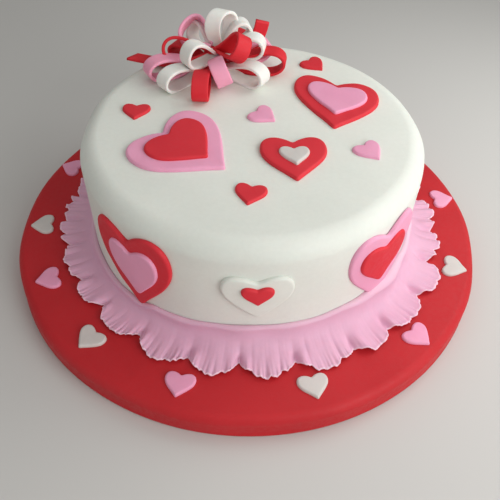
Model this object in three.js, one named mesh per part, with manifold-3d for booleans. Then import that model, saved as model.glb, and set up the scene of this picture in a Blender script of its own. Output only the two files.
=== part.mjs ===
// Valentine fondant cake: a round white cake on a red iced base, with a pink frill round its foot,
// cut-out hearts on the top, the side and the base, and a bow of red, pink and white loops.
// Millimetres, +Z up. The origin is the middle of the base's underside; -Y is the front.
import * as THREE from "three";
import { mergeVertices } from "three/addons/utils/BufferGeometryUtils.js";
import Module from "manifold-3d";

const wasm = await Module();
wasm.setup();

// Driving dimensions of the base and the cake
const BASE_RADIUS = 156;
const BASE_HEIGHT = 16;
const BASE_EDGE = 5.5;
const CAKE_RADIUS = 105;
const CAKE_HEIGHT = 80;
const CAKE_EDGE = 12;
const CAKE_X = 1.9;
const CAKE_Y = -0.4;
const CAKE_TOP = BASE_HEIGHT + CAKE_HEIGHT;
const GAP = 0.3;

// The frill: its upper line as [angle, height], where its lip rides over the large heart at the
// front right, and its edge, a row of ruffles
const FRILL_TOP_LINE = [
  [-180, 27.5],
  [-152, 28.5],
  [-138, 27],
  [-128, 27.5],
  [-120, 31.3],
  [-110, 31.8],
  [-98, 34.2],
  [-86, 35],
  [-72, 34.7],
  [-56, 36.5],
  [-45, 37.8],
  [-32, 38.5],
  [-15, 36],
  [8, 30],
  [40, 27],
  [90, 26.5],
  [135, 27],
];
const FRILL_BULGE = 2.6;
const FRILL_BULGE_AT = -40;
const FRILL_BULGE_WIDE = 12;
const FRILL_THICK = 1.8;
const FRILL_FOOT = 115;
const FRILL_STATIONS = 160;
const FRILL_LIFT = 1.8;
// Each ruffle: the angle and radius of the notch it starts from, and the radius that it reaches
const FRONT_RUFFLES = [
  [-188, 121, 129.5],
  [-177, 126, 130],
  [-165, 122, 128.5],
  [-150, 119.5, 128.5],
  [-137.5, 119, 129],
  [-122, 120, 130],
  [-105.7, 119.5, 130],
  [-92.2, 119.5, 129.5],
  [-76, 120, 130.5],
  [-60, 124, 130],
  [-48, 124.5, 131.5],
  [-32, 125, 133.5],
  [-17, 122.5, 129.5],
  [-3, 124, 129.5],
];
const BACK_RUFFLES_FROM = 12;
const BACK_RUFFLES = 11;

// Hearts come from three cutters; each entry is [name, colour, x, y, turn, wide, tall], then how
// far one lobe hangs under the other, and the ones that carry a smaller heart are followed by it
const LARGE_THICK = 2.2;
const INNER_THICK = 1.8;
const SMALL_THICK = 1.8;
const TOP_HEARTS = [
  ["top_heart_1", "red", 53.5, 23.4, -5.9, 55, 54, -0.165, LARGE_THICK],
  ["top_heart_1_inner", "pink", 54.2, 25.3, -7.4, 38.4, 33, -0.155, INNER_THICK],
  ["top_heart_2", "pink", -35.1, -26.6, 51.8, 61, 57.2, 0.02, LARGE_THICK],
  ["top_heart_2_inner", "red", -37.1, -25.6, 51, 42.6, 36.7, 0.06, INNER_THICK],
  ["top_heart_3", "red", 26.1, -33.3, 3.5, 39.5, 38.6, 0, LARGE_THICK],
  ["top_heart_3_inner", "white", 26.3, -33.1, 6, 17.8, 16.4, -0.04, SMALL_THICK],
  ["top_heart_4", "red", -70.8, 8.2, 1, 17.5, 16, 0, SMALL_THICK],
  ["top_heart_5", "pink", 8.6, 8.2, 53, 18, 17, 0, SMALL_THICK],
  ["top_heart_6", "pink", 70.3, -24.5, 34, 17.5, 17, 0, SMALL_THICK],
  ["top_heart_7", "red", 42.5, 70, 40, 17, 16.5, 0, SMALL_THICK],
  ["top_heart_8", "red", 1.3, -64.9, -9, 18, 16.8, 0, SMALL_THICK],
];

// Double hearts on the side: [angle, height of the middle, turn, size, outer and inner colour],
// and how far the inner heart's middle lies from the outer one's, across and up
const SIDE_HEARTS = [
  [-127.9, 54.6, 6.5, "left", "red", "pink", 2.9, 1.6],
  [-87.2, 59.3, 1.6, "medium", "white", "red", 0, 3.8],
  [-44.3, 56, -1, "right", "pink", "red", -2.4, 4.6],
  [5, 60, 2, "medium", "white", "red", 0, 3],
  [48, 57, -2, "large", "red", "pink", 1, 1],
  [90, 60.5, 1, "medium", "white", "red", 0, 3],
  [132, 57.5, 2, "large", "pink", "red", -1, 1],
  [175, 60, -1, "medium", "white", "red", 0, 3],
];
const VISIBLE_SIDE_HEARTS = 3;
const SIDE_SIZES = {
  large: { wide: 56, tall: 57, inWide: 37.5, inTall: 36, inThick: INNER_THICK },
  left: { wide: 58.5, tall: 58, inWide: 36, inTall: 36.8, inThick: INNER_THICK },
  right: { wide: 55, tall: 58, inWide: 37.2, inTall: 31.5, inThick: INNER_THICK },
  medium: { wide: 39.5, tall: 33.5, inWide: 17.6, inTall: 14.2, inThick: SMALL_THICK },
};

// Small hearts on the base: [angle, radius, lean away from straight outwards]
const BASE_HEARTS = [
  [159.7, 144, 4],
  [185.1, 141.9, 5],
  [205.9, 139.9, -4],
  [229.4, 139.3, 3],
  [255.4, 138.9, 5],
  [286.8, 138.9, -2],
  [317.1, 142.4, -3],
  [343.5, 143.2, -3],
  [370.6, 144.2, -3],
];
const BASE_HEART_COLOURS = ["pink", "white", "pink", "white", "pink", "white", "pink", "white", "pink"];
const HIDDEN_BASE_HEARTS = 5;
const BASE_HEART_WIDE = 18;
const BASE_HEART_TALL = 15.8;

// The bow: strips of sugar paste looped round a small pad
const BOW_X = -26;
const BOW_Y = 62;
const STRIP_WIDE = 10.5;
const STRIP_THICK = 2.1;
const PAD_RADIUS = 10;
const PAD_HEIGHT = 11;
// Each loop: where its axis starts from the bow's middle, with its height over the cake, the
// axis's heading and rise in degrees, the strip's roll about it, the loop's length and height,
// and for the top loop how far its upper half leans sideways
const BOW_LOOPS = [
  ["lower_left", "white", [-3.5, -3.6, 3.2], 226, 6, 0, 40, 15.5],
  ["lower_front", "red", [-5.5, -4, 3.3], 269, 7, 0, 42, 16],
  ["lower_right", "white", [4, -2.9, 3.5], 325, 8, 0, 38, 15.5],
  ["far_left", "pink", [-6.5, 3.5, 3.5], 213, 7, 0, 43, 15.5],
  ["far_right", "red", [5, 0, 3.5], 355, 9, 0, 44, 17.5],
  ["back_right", "pink", [4.7, 1.7, 4], 20, 12, 0, 36, 15],
  ["back", "red", [3, 4, 4], 55, 10, 0, 33, 16],
  ["back_middle", "white", [-0.5, 5, 4], 95, 10, 0, 32, 16],
  ["back_left", "red", [-4, 3, 4], 152, 3, 0, 30, 12.5],
  ["front", "pink", [1, -3, 10.5], 284, -1, 20, 28, 17.5],
  ["mid_left", "red", [0, 0, 12], 185, 6, 30, 34, 17],
  ["mid_front_left", "white", [3, -3, 13], 222, 17, 0, 28, 17],
  ["mid_front_right", "red", [4, -3, 13], 309, 35, 0, 29, 18],
  ["mid_right", "white", [3, 0, 14], 353, 12, 0, 32, 16],
  ["high_right", "white", [4, 2, 16], 14, 33, 0, 24, 14.5],
  ["high_back", "white", [0, 2, 14], 130, 15, 20, 24, 15.5],
  ["high_left", "pink", [0, 0, 16], 150, 22, 55, 25, 21],
  ["top", "white", [5.2, 0, 15], 252, 101, 0, 25, 14.5, 4.8],
];

const COLOURS = {
  white: 0xe9e9e2,
  pink: 0xe89bbb,
  red: 0xc4202f,
};
const materials = Object.fromEntries(
  Object.entries(COLOURS).map(([name, color]) => [
    name,
    new THREE.MeshStandardMaterial({ name, color, roughness: 0.55, metalness: 0 }),
  ]),
);

const radians = THREE.MathUtils.degToRad;
const clamp01 = (t) => Math.min(1, Math.max(0, t));
const smooth = (t) => clamp01(t) ** 2 * (3 - 2 * clamp01(t));
const point = (x, y, z) => new THREE.Vector3(x, y, z);

// Repeatable random numbers for the parts that aren't seen from the front
function randomFrom(seed) {
  let state = seed;
  return () => {
    state = (state * 1664525 + 1013904223) % 4294967296;
    return state / 4294967296;
  };
}

// A closed surface through rings with the same number of points. Neighbouring rings are joined by
// triangles. The first and last ring are joined too, or closed by fans round the two end points.
function skin(rings, ends) {
  const n = rings[0].length;
  const points = rings.flat();
  const index = [];
  const strips = ends ? rings.length - 1 : rings.length;
  for (let i = 0; i < strips; i++) {
    const a = i * n;
    const b = ((i + 1) % rings.length) * n;
    for (let j = 0; j < n; j++) {
      const k = (j + 1) % n;
      index.push(a + j, a + k, b + k, a + j, b + k, b + j);
    }
  }
  if (ends) {
    const last = (rings.length - 1) * n;
    points.push(ends[0], ends[1]);
    for (let j = 0; j < n; j++) {
      const k = (j + 1) % n;
      index.push(points.length - 2, k, j, points.length - 1, last + j, last + k);
    }
  }
  return facingOut(points, index);
}

// Turns the faces round if the volume that they enclose comes out negative
function facingOut(points, index) {
  let volume = 0;
  for (let i = 0; i < index.length; i += 3) {
    const [a, b, c] = [points[index[i]], points[index[i + 1]], points[index[i + 2]]];
    volume += a.dot(b.clone().cross(c));
  }
  if (volume < 0) index.reverse();
  return new THREE.BufferGeometry().setFromPoints(points).setIndex(index);
}

function solidOf(geometry) {
  const bare = geometry.clone();
  bare.deleteAttribute("normal");
  bare.deleteAttribute("uv");
  const merged = mergeVertices(bare, 1e-4);
  return new wasm.Manifold(
    new wasm.Mesh({
      numProp: 3,
      vertProperties: new Float32Array(merged.attributes.position.array),
      triVerts: new Uint32Array(merged.index.array),
    }),
  );
}

function geometryOf(solid) {
  const mesh = solid.getMesh();
  return new THREE.BufferGeometry()
    .setAttribute("position", new THREE.BufferAttribute(new Float32Array(mesh.vertProperties), 3))
    .setIndex(new THREE.BufferAttribute(new Uint32Array(mesh.triVerts), 1));
}

function largestOf(solid) {
  const bodies = solid.decompose();
  return bodies.reduce((a, b) => (b.volume() > a.volume() ? b : a));
}

const part = new THREE.Group();

function add(name, colour, geometry) {
  geometry.computeVertexNormals();
  const mesh = new THREE.Mesh(geometry, materials[colour]);
  mesh.name = name;
  part.add(mesh);
}

// A turned body with a rounded upper edge
function roundBody(radius, from, to, edge, foot, steps, segments, x, y) {
  const profile = [new THREE.Vector2(0, from), new THREE.Vector2(radius - foot, from)];
  profile.push(new THREE.Vector2(radius, from + foot));
  for (let i = 0; i <= steps; i++) {
    const a = (Math.PI / 2) * (i / steps);
    profile.push(new THREE.Vector2(radius - edge * (1 - Math.cos(a)), to - edge * (1 - Math.sin(a))));
  }
  profile.push(new THREE.Vector2(0, to));
  return new THREE.LatheGeometry(profile, segments).rotateX(Math.PI / 2).translate(x, y, 0);
}

// Outline of a heart, tip down, in its own box of the given width and height. Half of it is two
// curves, from the notch over the lobe to the widest point, and from there down to the tip.
function heartOutline(wide, tall, steps) {
  const at = (x, y) => new THREE.Vector2(x, y);
  const lobe = new THREE.CubicBezierCurve(at(0, 0.13), at(0.185, 0.3), at(0.5, 0.335), at(0.5, 0));
  const flank = new THREE.CubicBezierCurve(at(0.5, 0), at(0.5, -0.27), at(0.18, -0.46), at(0, -0.68));
  const right = [...lobe.getPoints(steps), ...flank.getPoints(steps).slice(1)];
  const left = right.slice(1, -1).reverse().map((p) => at(-p.x, p.y));
  const outline = [...right, ...left];
  const top = Math.max(...outline.map((p) => p.y));
  const middle = (top - 0.68) / 2;
  return outline.map((p) => at(p.x * wide, ((p.y - middle) * tall) / (top + 0.68)));
}

// A heart-shaped plate: rings from the middle of its back, round the rim, to the middle of its
// front. place turns a point of the plate (across, up, out) into a point of the cake.
function heartPlate({ wide, tall, thick, skew = 0, steps = 5, rounding = 0.7, inner = [], place }) {
  const outline = heartOutline(wide, tall, steps).map(({ x, y }) => ({ x, y: y + skew * x }));
  const inset = 1 - rounding / (wide / 2);
  const ring = (scale, out) => outline.map((p) => place(p.x * scale, p.y * scale, out));
  const back = 0;
  const front = thick;
  const rings = [
    ...inner.map((scale) => ring(scale, back)),
    ring(1, back),
    ring(1, front - rounding),
    ring(inset, front),
    ...inner.toReversed().map((scale) => ring(scale * inset, front)),
  ];
  return skin(rings, [place(0, 0, back), place(0, 0, front)]);
}

// A plate that lies flat, at (x, y, z), turned about the vertical
function flatPlace(x, y, z, turn) {
  const c = Math.cos(radians(turn));
  const s = Math.sin(radians(turn));
  return (across, up, out) => point(x + c * across - s * up, y + s * across + c * up, z + out);
}

// Height of the frill's upper line at an angle, eased between its entries
function frillTop(angle) {
  const turned = ((angle + 540) % 360) - 180;
  const line = [...FRILL_TOP_LINE, [180, FRILL_TOP_LINE[0][1]]];
  const i = Math.max(1, line.findIndex(([at]) => at > turned));
  const [from, low] = line[i - 1];
  const [to, high] = line[i];
  const t = (turned - from) / (to - from);
  return low + (high - low) * t * t * (3 - 2 * t);
}

// How far the lip stands off at an angle, where it rides over the large heart
const frillBulge = (angle) => {
  const away = ((angle - FRILL_BULGE_AT + 540) % 360) - 180;
  return FRILL_BULGE * Math.exp(-((away / FRILL_BULGE_WIDE) ** 2));
};

// Radius of the frill's band below its upper line
const bandRadius = (below) => CAKE_RADIUS + 2.4 + 0.028 * below ** 2;

// A plate that lies on the side of the cake, with its back at the given lift
function sidePlace(angle, middle, turn, across0, up0, lift) {
  const c = Math.cos(radians(turn));
  const s = Math.sin(radians(turn));
  return (across, up, out) => {
    const x = c * (across + across0) - s * (up + up0);
    const z = middle + s * (across + across0) + c * (up + up0);
    const a = radians(angle) + x / CAKE_RADIUS;
    const r = CAKE_RADIUS + GAP + lift + out;
    return point(CAKE_X + r * Math.cos(a), CAKE_Y + r * Math.sin(a), z);
  };
}

// The outer plate of a double heart, and its smaller plate at a lift over the outer one
function sideHeart([angle, middle, turn, size, , , across, up], steps) {
  const { wide, tall, inWide, inTall, inThick } = SIDE_SIZES[size];
  const outer = heartPlate({
    wide,
    tall,
    thick: LARGE_THICK,
    steps,
    inner: [0.34, 0.67],
    place: sidePlace(angle, middle, turn, 0, 0, 0),
  });
  const smaller = (lift) =>
    heartPlate({
      wide: inWide,
      tall: inTall,
      thick: inThick,
      steps: steps - 1,
      inner: size === "medium" ? [] : [0.34, 0.67],
      place: sidePlace(angle, middle, turn, across, up, LARGE_THICK + lift),
    });
  return { outer, smaller };
}

// Angles, notch radii and reaches of every ruffle, with those at the back drawn at random
function allRuffles() {
  const random = randomFrom(14);
  const span = (FRONT_RUFFLES[0][0] + 360 - BACK_RUFFLES_FROM) / BACK_RUFFLES;
  const back = Array.from({ length: BACK_RUFFLES }, (_, i) => [
    BACK_RUFFLES_FROM + span * (i + (i ? 0.4 * (random() - 0.5) : 0)),
    120 + 5 * random(),
    128.5 + 3.5 * random(),
  ]);
  return [...FRONT_RUFFLES, ...back];
}

// Radius and lift of the frill's edge at an angle, counted on from the first ruffle
function frillEdge(ruffles, angle) {
  const i = ruffles.findLastIndex(([from]) => from <= angle);
  const [from, notch, reach] = ruffles[i];
  const [to, nextNotch] = ruffles[i + 1] ?? [ruffles[0][0] + 360, ruffles[0][1]];
  const t = (angle - from) / (to - from);
  const bump = Math.sin(Math.PI * t) ** 0.55;
  const low = notch + (nextNotch - notch) * t;
  const pleat = 0.5 - 0.5 * Math.cos(6 * Math.PI * t);
  return {
    radius: low + (reach - low) * bump - 1.2 * pleat * bump,
    lift: FRILL_LIFT * bump * (0.45 + 0.55 * pleat),
  };
}

// The frill as rings of section: a rolled lip on the side of the cake, a band that leans out in
// a hollow curve, and the ruffled part that lies on the base. grow makes it larger for a cut.
function frill(grow) {
  const ruffles = allRuffles();
  const floor = BASE_HEIGHT + GAP;
  const rings = [];
  for (let i = 0; i < FRILL_STATIONS; i++) {
    const angle = FRONT_RUFFLES[0][0] + (360 * i) / FRILL_STATIONS;
    const { radius, lift } = frillEdge(ruffles, angle);
    const top = frillTop(angle);
    const bulge = frillBulge(angle);
    const inner = CAKE_RADIUS + GAP - grow;
    const section = [
      [inner, top + grow],
      [bandRadius(0) + bulge + grow, top - 0.4 + grow],
      [bandRadius(6) + bulge + grow, top - 6],
      [FRILL_FOOT - 1.5, floor + 3.4],
      [FRILL_FOOT + 3, floor + FRILL_THICK + 0.3 * lift],
      [radius, floor + FRILL_THICK + lift],
      [radius - 0.2, floor + lift],
      [FRILL_FOOT + 2, floor],
      [inner, floor],
    ];
    const c = Math.cos(radians(angle));
    const s = Math.sin(radians(angle));
    rings.push(section.map(([r, z]) => point(CAKE_X + r * c, CAKE_Y + r * s, z)));
  }
  return skin(rings);
}

// A loop of strip: a teardrop that starts at the bow's middle, with a smaller teardrop as its
// opening, and a strip that is pinched narrower where it starts
function loopSolid([, , from, heading, rise, roll, long, high, shear = 0], grow) {
  const start = point(BOW_X + from[0], BOW_Y + from[1], CAKE_TOP + from[2]);
  const h = radians(heading);
  const e = radians(rise);
  const along = point(Math.cos(e) * Math.cos(h), Math.cos(e) * Math.sin(h), Math.sin(e));
  const level = point(-Math.sin(h), Math.cos(h), 0);
  const across = level.clone().applyAxisAngle(along, radians(roll));
  const up = along.clone().cross(across);
  const stations = 12;
  const pinch = 9;
  const fullHeight = 0.65;
  const rings = [];
  for (let i = 0; i < stations; i++) {
    const u = (2 * Math.PI * (i + 0.5)) / stations;
    const swell = (Math.sin(u) * Math.sin(u / 2) ** 2) / fullHeight;
    const reach = (1 - Math.cos(u)) / 2;
    const outer = [-grow + (long + 2 * grow) * reach, (high / 2 + grow) * swell];
    const inLong = long - STRIP_THICK - pinch - 2 * grow;
    const inner = [pinch + grow + inLong * reach, (high / 2 - STRIP_THICK - grow) * swell];
    const wide = (x) => ((STRIP_WIDE + 2 * grow) / 2) * (0.5 + 0.5 * smooth((x + 2) / 16));
    const corner = ([x, y], side) =>
      start
        .clone()
        .addScaledVector(along, x)
        .addScaledVector(up, y)
        .addScaledVector(across, side * wide(x) + shear * Math.sin(u));
    rings.push([corner(outer, -1), corner(outer, 1), corner(inner, 1), corner(inner, -1)]);
  }
  return solidOf(skin(rings));
}

// A loose end of strip along a curve, with its cut end a little slanted
function tailSolid(path, facing, wide, slant, grow) {
  const curve = new THREE.CatmullRomCurve3(path);
  const steps = 6;
  const rings = [];
  for (let i = 0; i <= steps; i++) {
    const centre = curve.getPoint(i / steps);
    const along = curve.getTangent(i / steps);
    const side = facing.clone().cross(along).normalize();
    const out = along.clone().cross(side).normalize();
    const half = wide / 2 + grow;
    const thick = STRIP_THICK / 2 + grow;
    const skew = i === steps ? slant : 0;
    rings.push(
      [[-1, -1], [1, -1], [1, 1], [-1, 1]].map(([a, b]) =>
        centre
          .clone()
          .addScaledVector(side, a * half)
          .addScaledVector(out, b * thick)
          .addScaledVector(along, a * skew),
      ),
    );
  }
  return solidOf(skin(rings, [rings[0], rings[steps]].map((r) => r[0].clone().lerp(r[2], 0.5))));
}

// The pad and its loops. Each piece is cut back by the cake and by the ones placed before it,
// which stand a little larger for the cut, so that the pieces meet with a small gap.
function bow() {
  const dome = (grow) => {
    const profile = [new THREE.Vector2(0, -grow), new THREE.Vector2(PAD_RADIUS + grow, -grow)];
    for (let i = 1; i < 5; i++) {
      const a = (Math.PI / 2) * (i / 5);
      profile.push(new THREE.Vector2((PAD_RADIUS + grow) * Math.cos(a), (PAD_HEIGHT + grow) * Math.sin(a)));
    }
    profile.push(new THREE.Vector2(0, PAD_HEIGHT + grow));
    return new THREE.LatheGeometry(profile, 16).rotateX(Math.PI / 2).translate(BOW_X, BOW_Y, CAKE_TOP);
  };
  add("bow_pad", "red", dome(0));
  const top = roundBody(CAKE_RADIUS + GAP, BASE_HEIGHT, CAKE_TOP + GAP, CAKE_EDGE, 0.8, 5, 64, CAKE_X, CAKE_Y);
  let taken = solidOf(dome(GAP)).add(solidOf(top));
  const place = (name, colour, make) => {
    const left = largestOf(make(0).subtract(taken));
    taken = taken.add(make(GAP));
    add(name, colour, geometryOf(left));
  };
  for (const loop of BOW_LOOPS) {
    place(`bow_loop_${loop[0]}`, loop[1], (grow) => loopSolid(loop, grow));
  }
  const leftTail = [point(-36, 62, 98), point(-58, 64, 98), point(-81, 66, 101)];
  place("bow_tail_left", "red", (grow) => tailSolid(leftTail, point(0, 0, 1), 9, 3, grow));
  const rightTail = [point(-14, 73, 101), point(1, 78, 104), point(6, 78, 123)];
  place("bow_tail_right", "red", (grow) => tailSolid(rightTail, point(0.2, -1, 0.1), 9.4, 0.6, grow));
}

add("base_icing", "red", roundBody(BASE_RADIUS, 0, BASE_HEIGHT, BASE_EDGE, 1.2, 4, 72, 0, 0));
add(
  "cake_icing",
  "white",
  roundBody(CAKE_RADIUS, BASE_HEIGHT, CAKE_TOP, CAKE_EDGE, 0.8, 5, 64, CAKE_X, CAKE_Y),
);

for (const [name, colour, x, y, turn, wide, tall, skew, thick] of TOP_HEARTS) {
  const z = CAKE_TOP + (name.endsWith("inner") ? LARGE_THICK : 0);
  const steps = wide > 30 ? 5 : 4;
  add(name, colour, heartPlate({ wide, tall, thick, skew, steps, place: flatPlace(x, y, z, turn) }));
}

add("frill", "pink", frill(0));
const frillCut = solidOf(frill(GAP));
SIDE_HEARTS.forEach((row, i) => {
  const { outer, smaller } = sideHeart(row, i < VISIBLE_SIDE_HEARTS ? 5 : 4);
  const name = `side_heart_${i + 1}`;
  const cut = solidOf(outer).subtract(frillCut);
  if (i < VISIBLE_SIDE_HEARTS) {
    add(name, row[4], geometryOf(cut));
    add(`${name}_inner`, row[5], smaller(GAP));
  } else {
    add(name, row[4], geometryOf(cut.add(solidOf(smaller(-GAP)))));
  }
});

const hiddenStep = (BASE_HEARTS[0][0] + 360 - BASE_HEARTS.at(-1)[0]) / (HIDDEN_BASE_HEARTS + 1);
const hiddenHearts = Array.from({ length: HIDDEN_BASE_HEARTS }, (_, i) => [
  BASE_HEARTS.at(-1)[0] + hiddenStep * (i + 1),
  142,
  i % 2 ? 3 : -3,
]);
[...BASE_HEARTS, ...hiddenHearts].forEach(([angle, radius, lean], i) => {
  const a = radians(angle);
  const place = flatPlace(radius * Math.cos(a), radius * Math.sin(a), BASE_HEIGHT, angle + 90 + lean);
  const colour = BASE_HEART_COLOURS[i] ?? (i % 2 ? "white" : "pink");
  const plate = { wide: BASE_HEART_WIDE, tall: BASE_HEART_TALL, thick: SMALL_THICK, steps: 4 };
  add(`base_heart_${i + 1}`, colour, heartPlate({ ...plate, place }));
});

bow();

export default part;
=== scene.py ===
"""Looks of a round fondant cake on a red iced base, with a frill, cut-out hearts and a loop bow.

Inside the classes every length is in millimetres, +Z is up and -Y is the front of the cake.
Lengths become metres where a surface is put into its mesh.
"""

import logging
import math
from dataclasses import dataclass
from enum import Enum
from typing import NamedTuple

import bpy
import numpy as np
from mathutils import Matrix, Vector


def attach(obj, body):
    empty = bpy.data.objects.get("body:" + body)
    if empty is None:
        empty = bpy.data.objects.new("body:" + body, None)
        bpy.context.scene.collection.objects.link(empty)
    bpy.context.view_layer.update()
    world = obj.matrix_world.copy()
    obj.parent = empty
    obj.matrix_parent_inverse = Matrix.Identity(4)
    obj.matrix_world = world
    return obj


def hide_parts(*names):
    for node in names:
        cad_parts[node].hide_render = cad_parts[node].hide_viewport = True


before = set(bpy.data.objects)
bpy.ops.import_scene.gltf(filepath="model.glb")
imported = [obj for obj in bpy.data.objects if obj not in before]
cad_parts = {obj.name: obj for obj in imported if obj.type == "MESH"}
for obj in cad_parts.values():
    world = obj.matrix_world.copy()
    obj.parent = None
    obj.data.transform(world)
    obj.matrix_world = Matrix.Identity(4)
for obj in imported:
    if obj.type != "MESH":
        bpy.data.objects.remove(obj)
log = logging.getLogger("cake")
Array = np.ndarray
Colour = tuple[float, float, float]
Place = tuple[float, float, float]

METRES = 0.001
BODY = "root"

BASE_HEIGHT = 16.0
CAKE_TOP = 96.0
CAKE_RADIUS = 105.0
CAKE_X = 1.9
CAKE_Y = -0.4

# Thickness of the cut hearts, how far they sink in, how much thinner those on the top are
# pressed, and the widths that sort them by size.
LARGE_THICK = 2.2
INNER_THICK = 1.8
SMALL_THICK = 1.8
SUNK = 0.4
PRESSED = 0.05
LARGE_FROM = 30.0
SMALL_BELOW = 19.0


class Paste(Enum):
    """Colours of sugar paste that the cake is made of."""

    WHITE = "white_icing"
    PINK = "pink_icing"
    RED = "red_icing"


def smooth(value: Array) -> Array:
    """Ease between 0 and 1: three times the square minus twice the cube of the clipped value."""
    t = np.clip(value, 0.0, 1.0)
    return t * t * (3.0 - 2.0 * t)


def hump(distance: Array, width: float) -> Array:
    """Bell curve: e to the power of minus the squared distance over the squared width."""
    return np.exp(-((distance / width) ** 2))


def cubic(t: Array, start: Array, first: Array, second: Array, end: Array) -> Array:
    """Cubic curve: its four control values weighted by the binomial terms of the parameter.

    Args:
        t: parameter, 0 at the start and 1 at the end.
        start: value at the start.
        first: first control value.
        second: second control value.
        end: value at the end.

    Returns:
        The value at each parameter.
    """
    s = 1.0 - t
    return s**3 * start + 3.0 * s * s * t * first + 3.0 * s * t * t * second + t**3 * end


def circle(count: int) -> Array:
    """Angles of a full turn in even steps, as one row."""
    return np.linspace(0.0, 2.0 * math.pi, count, endpoint=False)[None, :]


def waves(angle: Array, seed: int, slowest: int, fastest: int, count: int) -> Array:
    """Uneven ripple round a circle that closes on itself.

    The ripple is a sum of sines of whole multiples of the angle, with seeded multiples and
    phases, divided by the root of their number.

    Args:
        angle: angles in radians.
        seed: seed of the draw.
        slowest: lowest whole multiple that may be drawn.
        fastest: highest whole multiple that may be drawn.
        count: number of sines.

    Returns:
        The ripple at each angle, mostly between -1 and 1.
    """
    draw = np.random.default_rng(seed)
    cycles = draw.integers(slowest, fastest + 1, count)
    phases = draw.uniform(0.0, 2.0 * math.pi, count)
    shape = (count,) + (1,) * np.ndim(angle)
    return np.sin(cycles.reshape(shape) * angle + phases.reshape(shape)).sum(0) / math.sqrt(count)


def wander(x: Array, y: Array, seed: int, length: float, count: int = 7) -> Array:
    """Gentle unevenness over a plane.

    It is a sum of sines of straight-line waves in seeded directions, whose wave lengths lie
    round the given one, divided by the root of their number.

    Args:
        x: first coordinate in millimetres.
        y: second coordinate in millimetres.
        seed: seed of the draw.
        length: typical wave length in millimetres.
        count: number of waves.

    Returns:
        The unevenness at each point, mostly between -1 and 1.
    """
    draw = np.random.default_rng(seed)
    heading = draw.uniform(0.0, 2.0 * math.pi, count)
    number = 2.0 * math.pi / (length * draw.uniform(0.7, 1.5, count))
    phase = draw.uniform(0.0, 2.0 * math.pi, count)
    shape = (count,) + (1,) * np.ndim(x)
    along = x * np.cos(heading).reshape(shape) + y * np.sin(heading).reshape(shape)
    return np.sin(number.reshape(shape) * along + phase.reshape(shape)).sum(0) / math.sqrt(count)


def ring_faces(rows: int, around: int, closes: bool) -> Array:
    """Four-sided faces between neighbouring rings of a grid.

    Args:
        rows: number of rings.
        around: number of points in a ring.
        closes: whether the last ring joins the first.

    Returns:
        Corner numbers, four to a face.
    """
    first = np.arange(rows if closes else rows - 1)[:, None]
    column = np.arange(around)[None, :]
    here = first * around
    there = ((first + 1) % rows) * around
    following = (column + 1) % around
    corners = [here + column, here + following, there + following, there + column]
    return np.stack(corners, axis=-1).reshape(-1, 4)


def fan_faces(rows: int, around: int) -> Array:
    """Three-sided faces that join the first and last ring to the two end points after them.

    Args:
        rows: number of rings.
        around: number of points in a ring.

    Returns:
        Corner numbers, three to a face.
    """
    column = np.arange(around)
    following = (column + 1) % around
    last = (rows - 1) * around
    start = np.full(around, rows * around)
    end = start + 1
    opening = np.stack([start, following, column], axis=-1)
    closing = np.stack([end, last + column, last + following], axis=-1)
    return np.concatenate([opening, closing])


@dataclass(frozen=True)
class Surface:
    """Closed surface made of rings of points.

    Attributes:
        rings: points, as rings by points of a ring by three coordinates, in millimetres.
        ends: the two points that close the first and last ring, or nothing if these join.
        thin_and_highlight: how pale each point of the rings is, both where the paste is thin and where
            a highlight is painted on, or nothing.
    """

    rings: Array
    ends: Array | None = None
    thin_and_highlight: Array | None = None

    def parts(self) -> tuple[Array, Array, Array]:
        """Points and faces, turned to face outwards.

        The sum of each triangle's first corner times the cross product of its other two is six
        times the volume. Where it comes out negative, every face is turned round.

        Returns:
            Points, four-sided faces and three-sided faces.
        """
        rows, around = self.rings.shape[:2]
        points = self.rings.reshape(-1, 3)
        quads = ring_faces(rows, around, self.ends is None)
        triangles = np.zeros((0, 3), int)
        if self.ends is not None:
            points = np.concatenate([points, self.ends])
            triangles = fan_faces(rows, around)
        halves = np.concatenate([quads[:, [0, 1, 2]], quads[:, [0, 2, 3]], triangles])
        a, b, c = points[halves[:, 0]], points[halves[:, 1]], points[halves[:, 2]]
        if np.einsum("ij,ij->i", a, np.cross(b, c)).sum() < 0.0:
            quads = quads[:, ::-1]
            triangles = triangles[:, ::-1]
        return points, quads, triangles

    def put(self, name: str, material: bpy.types.Material) -> bpy.types.Object:
        """Puts the surface into a mesh at the origin.

        Args:
            name: name of the piece.
            material: its finish.

        Returns:
            The new object.
        """
        points, quads, triangles = self.parts()
        mesh = bpy.data.meshes.new(name)
        mesh.vertices.add(len(points))
        mesh.vertices.foreach_set("co", (points * METRES).astype(np.float32).ravel())
        corners = np.concatenate([quads.ravel(), triangles.ravel()])
        totals = np.concatenate([np.full(len(quads), 4), np.full(len(triangles), 3)])
        starts = np.concatenate([[0], np.cumsum(totals)[:-1]])
        mesh.loops.add(len(corners))
        mesh.loops.foreach_set("vertex_index", corners.astype(np.int32))
        mesh.polygons.add(len(totals))
        mesh.polygons.foreach_set("loop_start", starts.astype(np.int32))
        mesh.polygons.foreach_set("loop_total", totals.astype(np.int32))
        mesh.polygons.foreach_set("use_smooth", np.ones(len(totals), bool))
        mesh.update(calc_edges=True)
        mesh.validate()
        # The paleness marks thin paste and painted highlights.
        if self.thin_and_highlight is not None:
            mark = mesh.attributes.new("thin_and_highlight", "FLOAT", "POINT")
            mark.data.foreach_set("value", self.thin_and_highlight.astype(np.float32).ravel())
        mesh.materials.append(material)
        piece = bpy.data.objects.new(name, mesh)
        bpy.context.scene.collection.objects.link(piece)
        return piece


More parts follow.
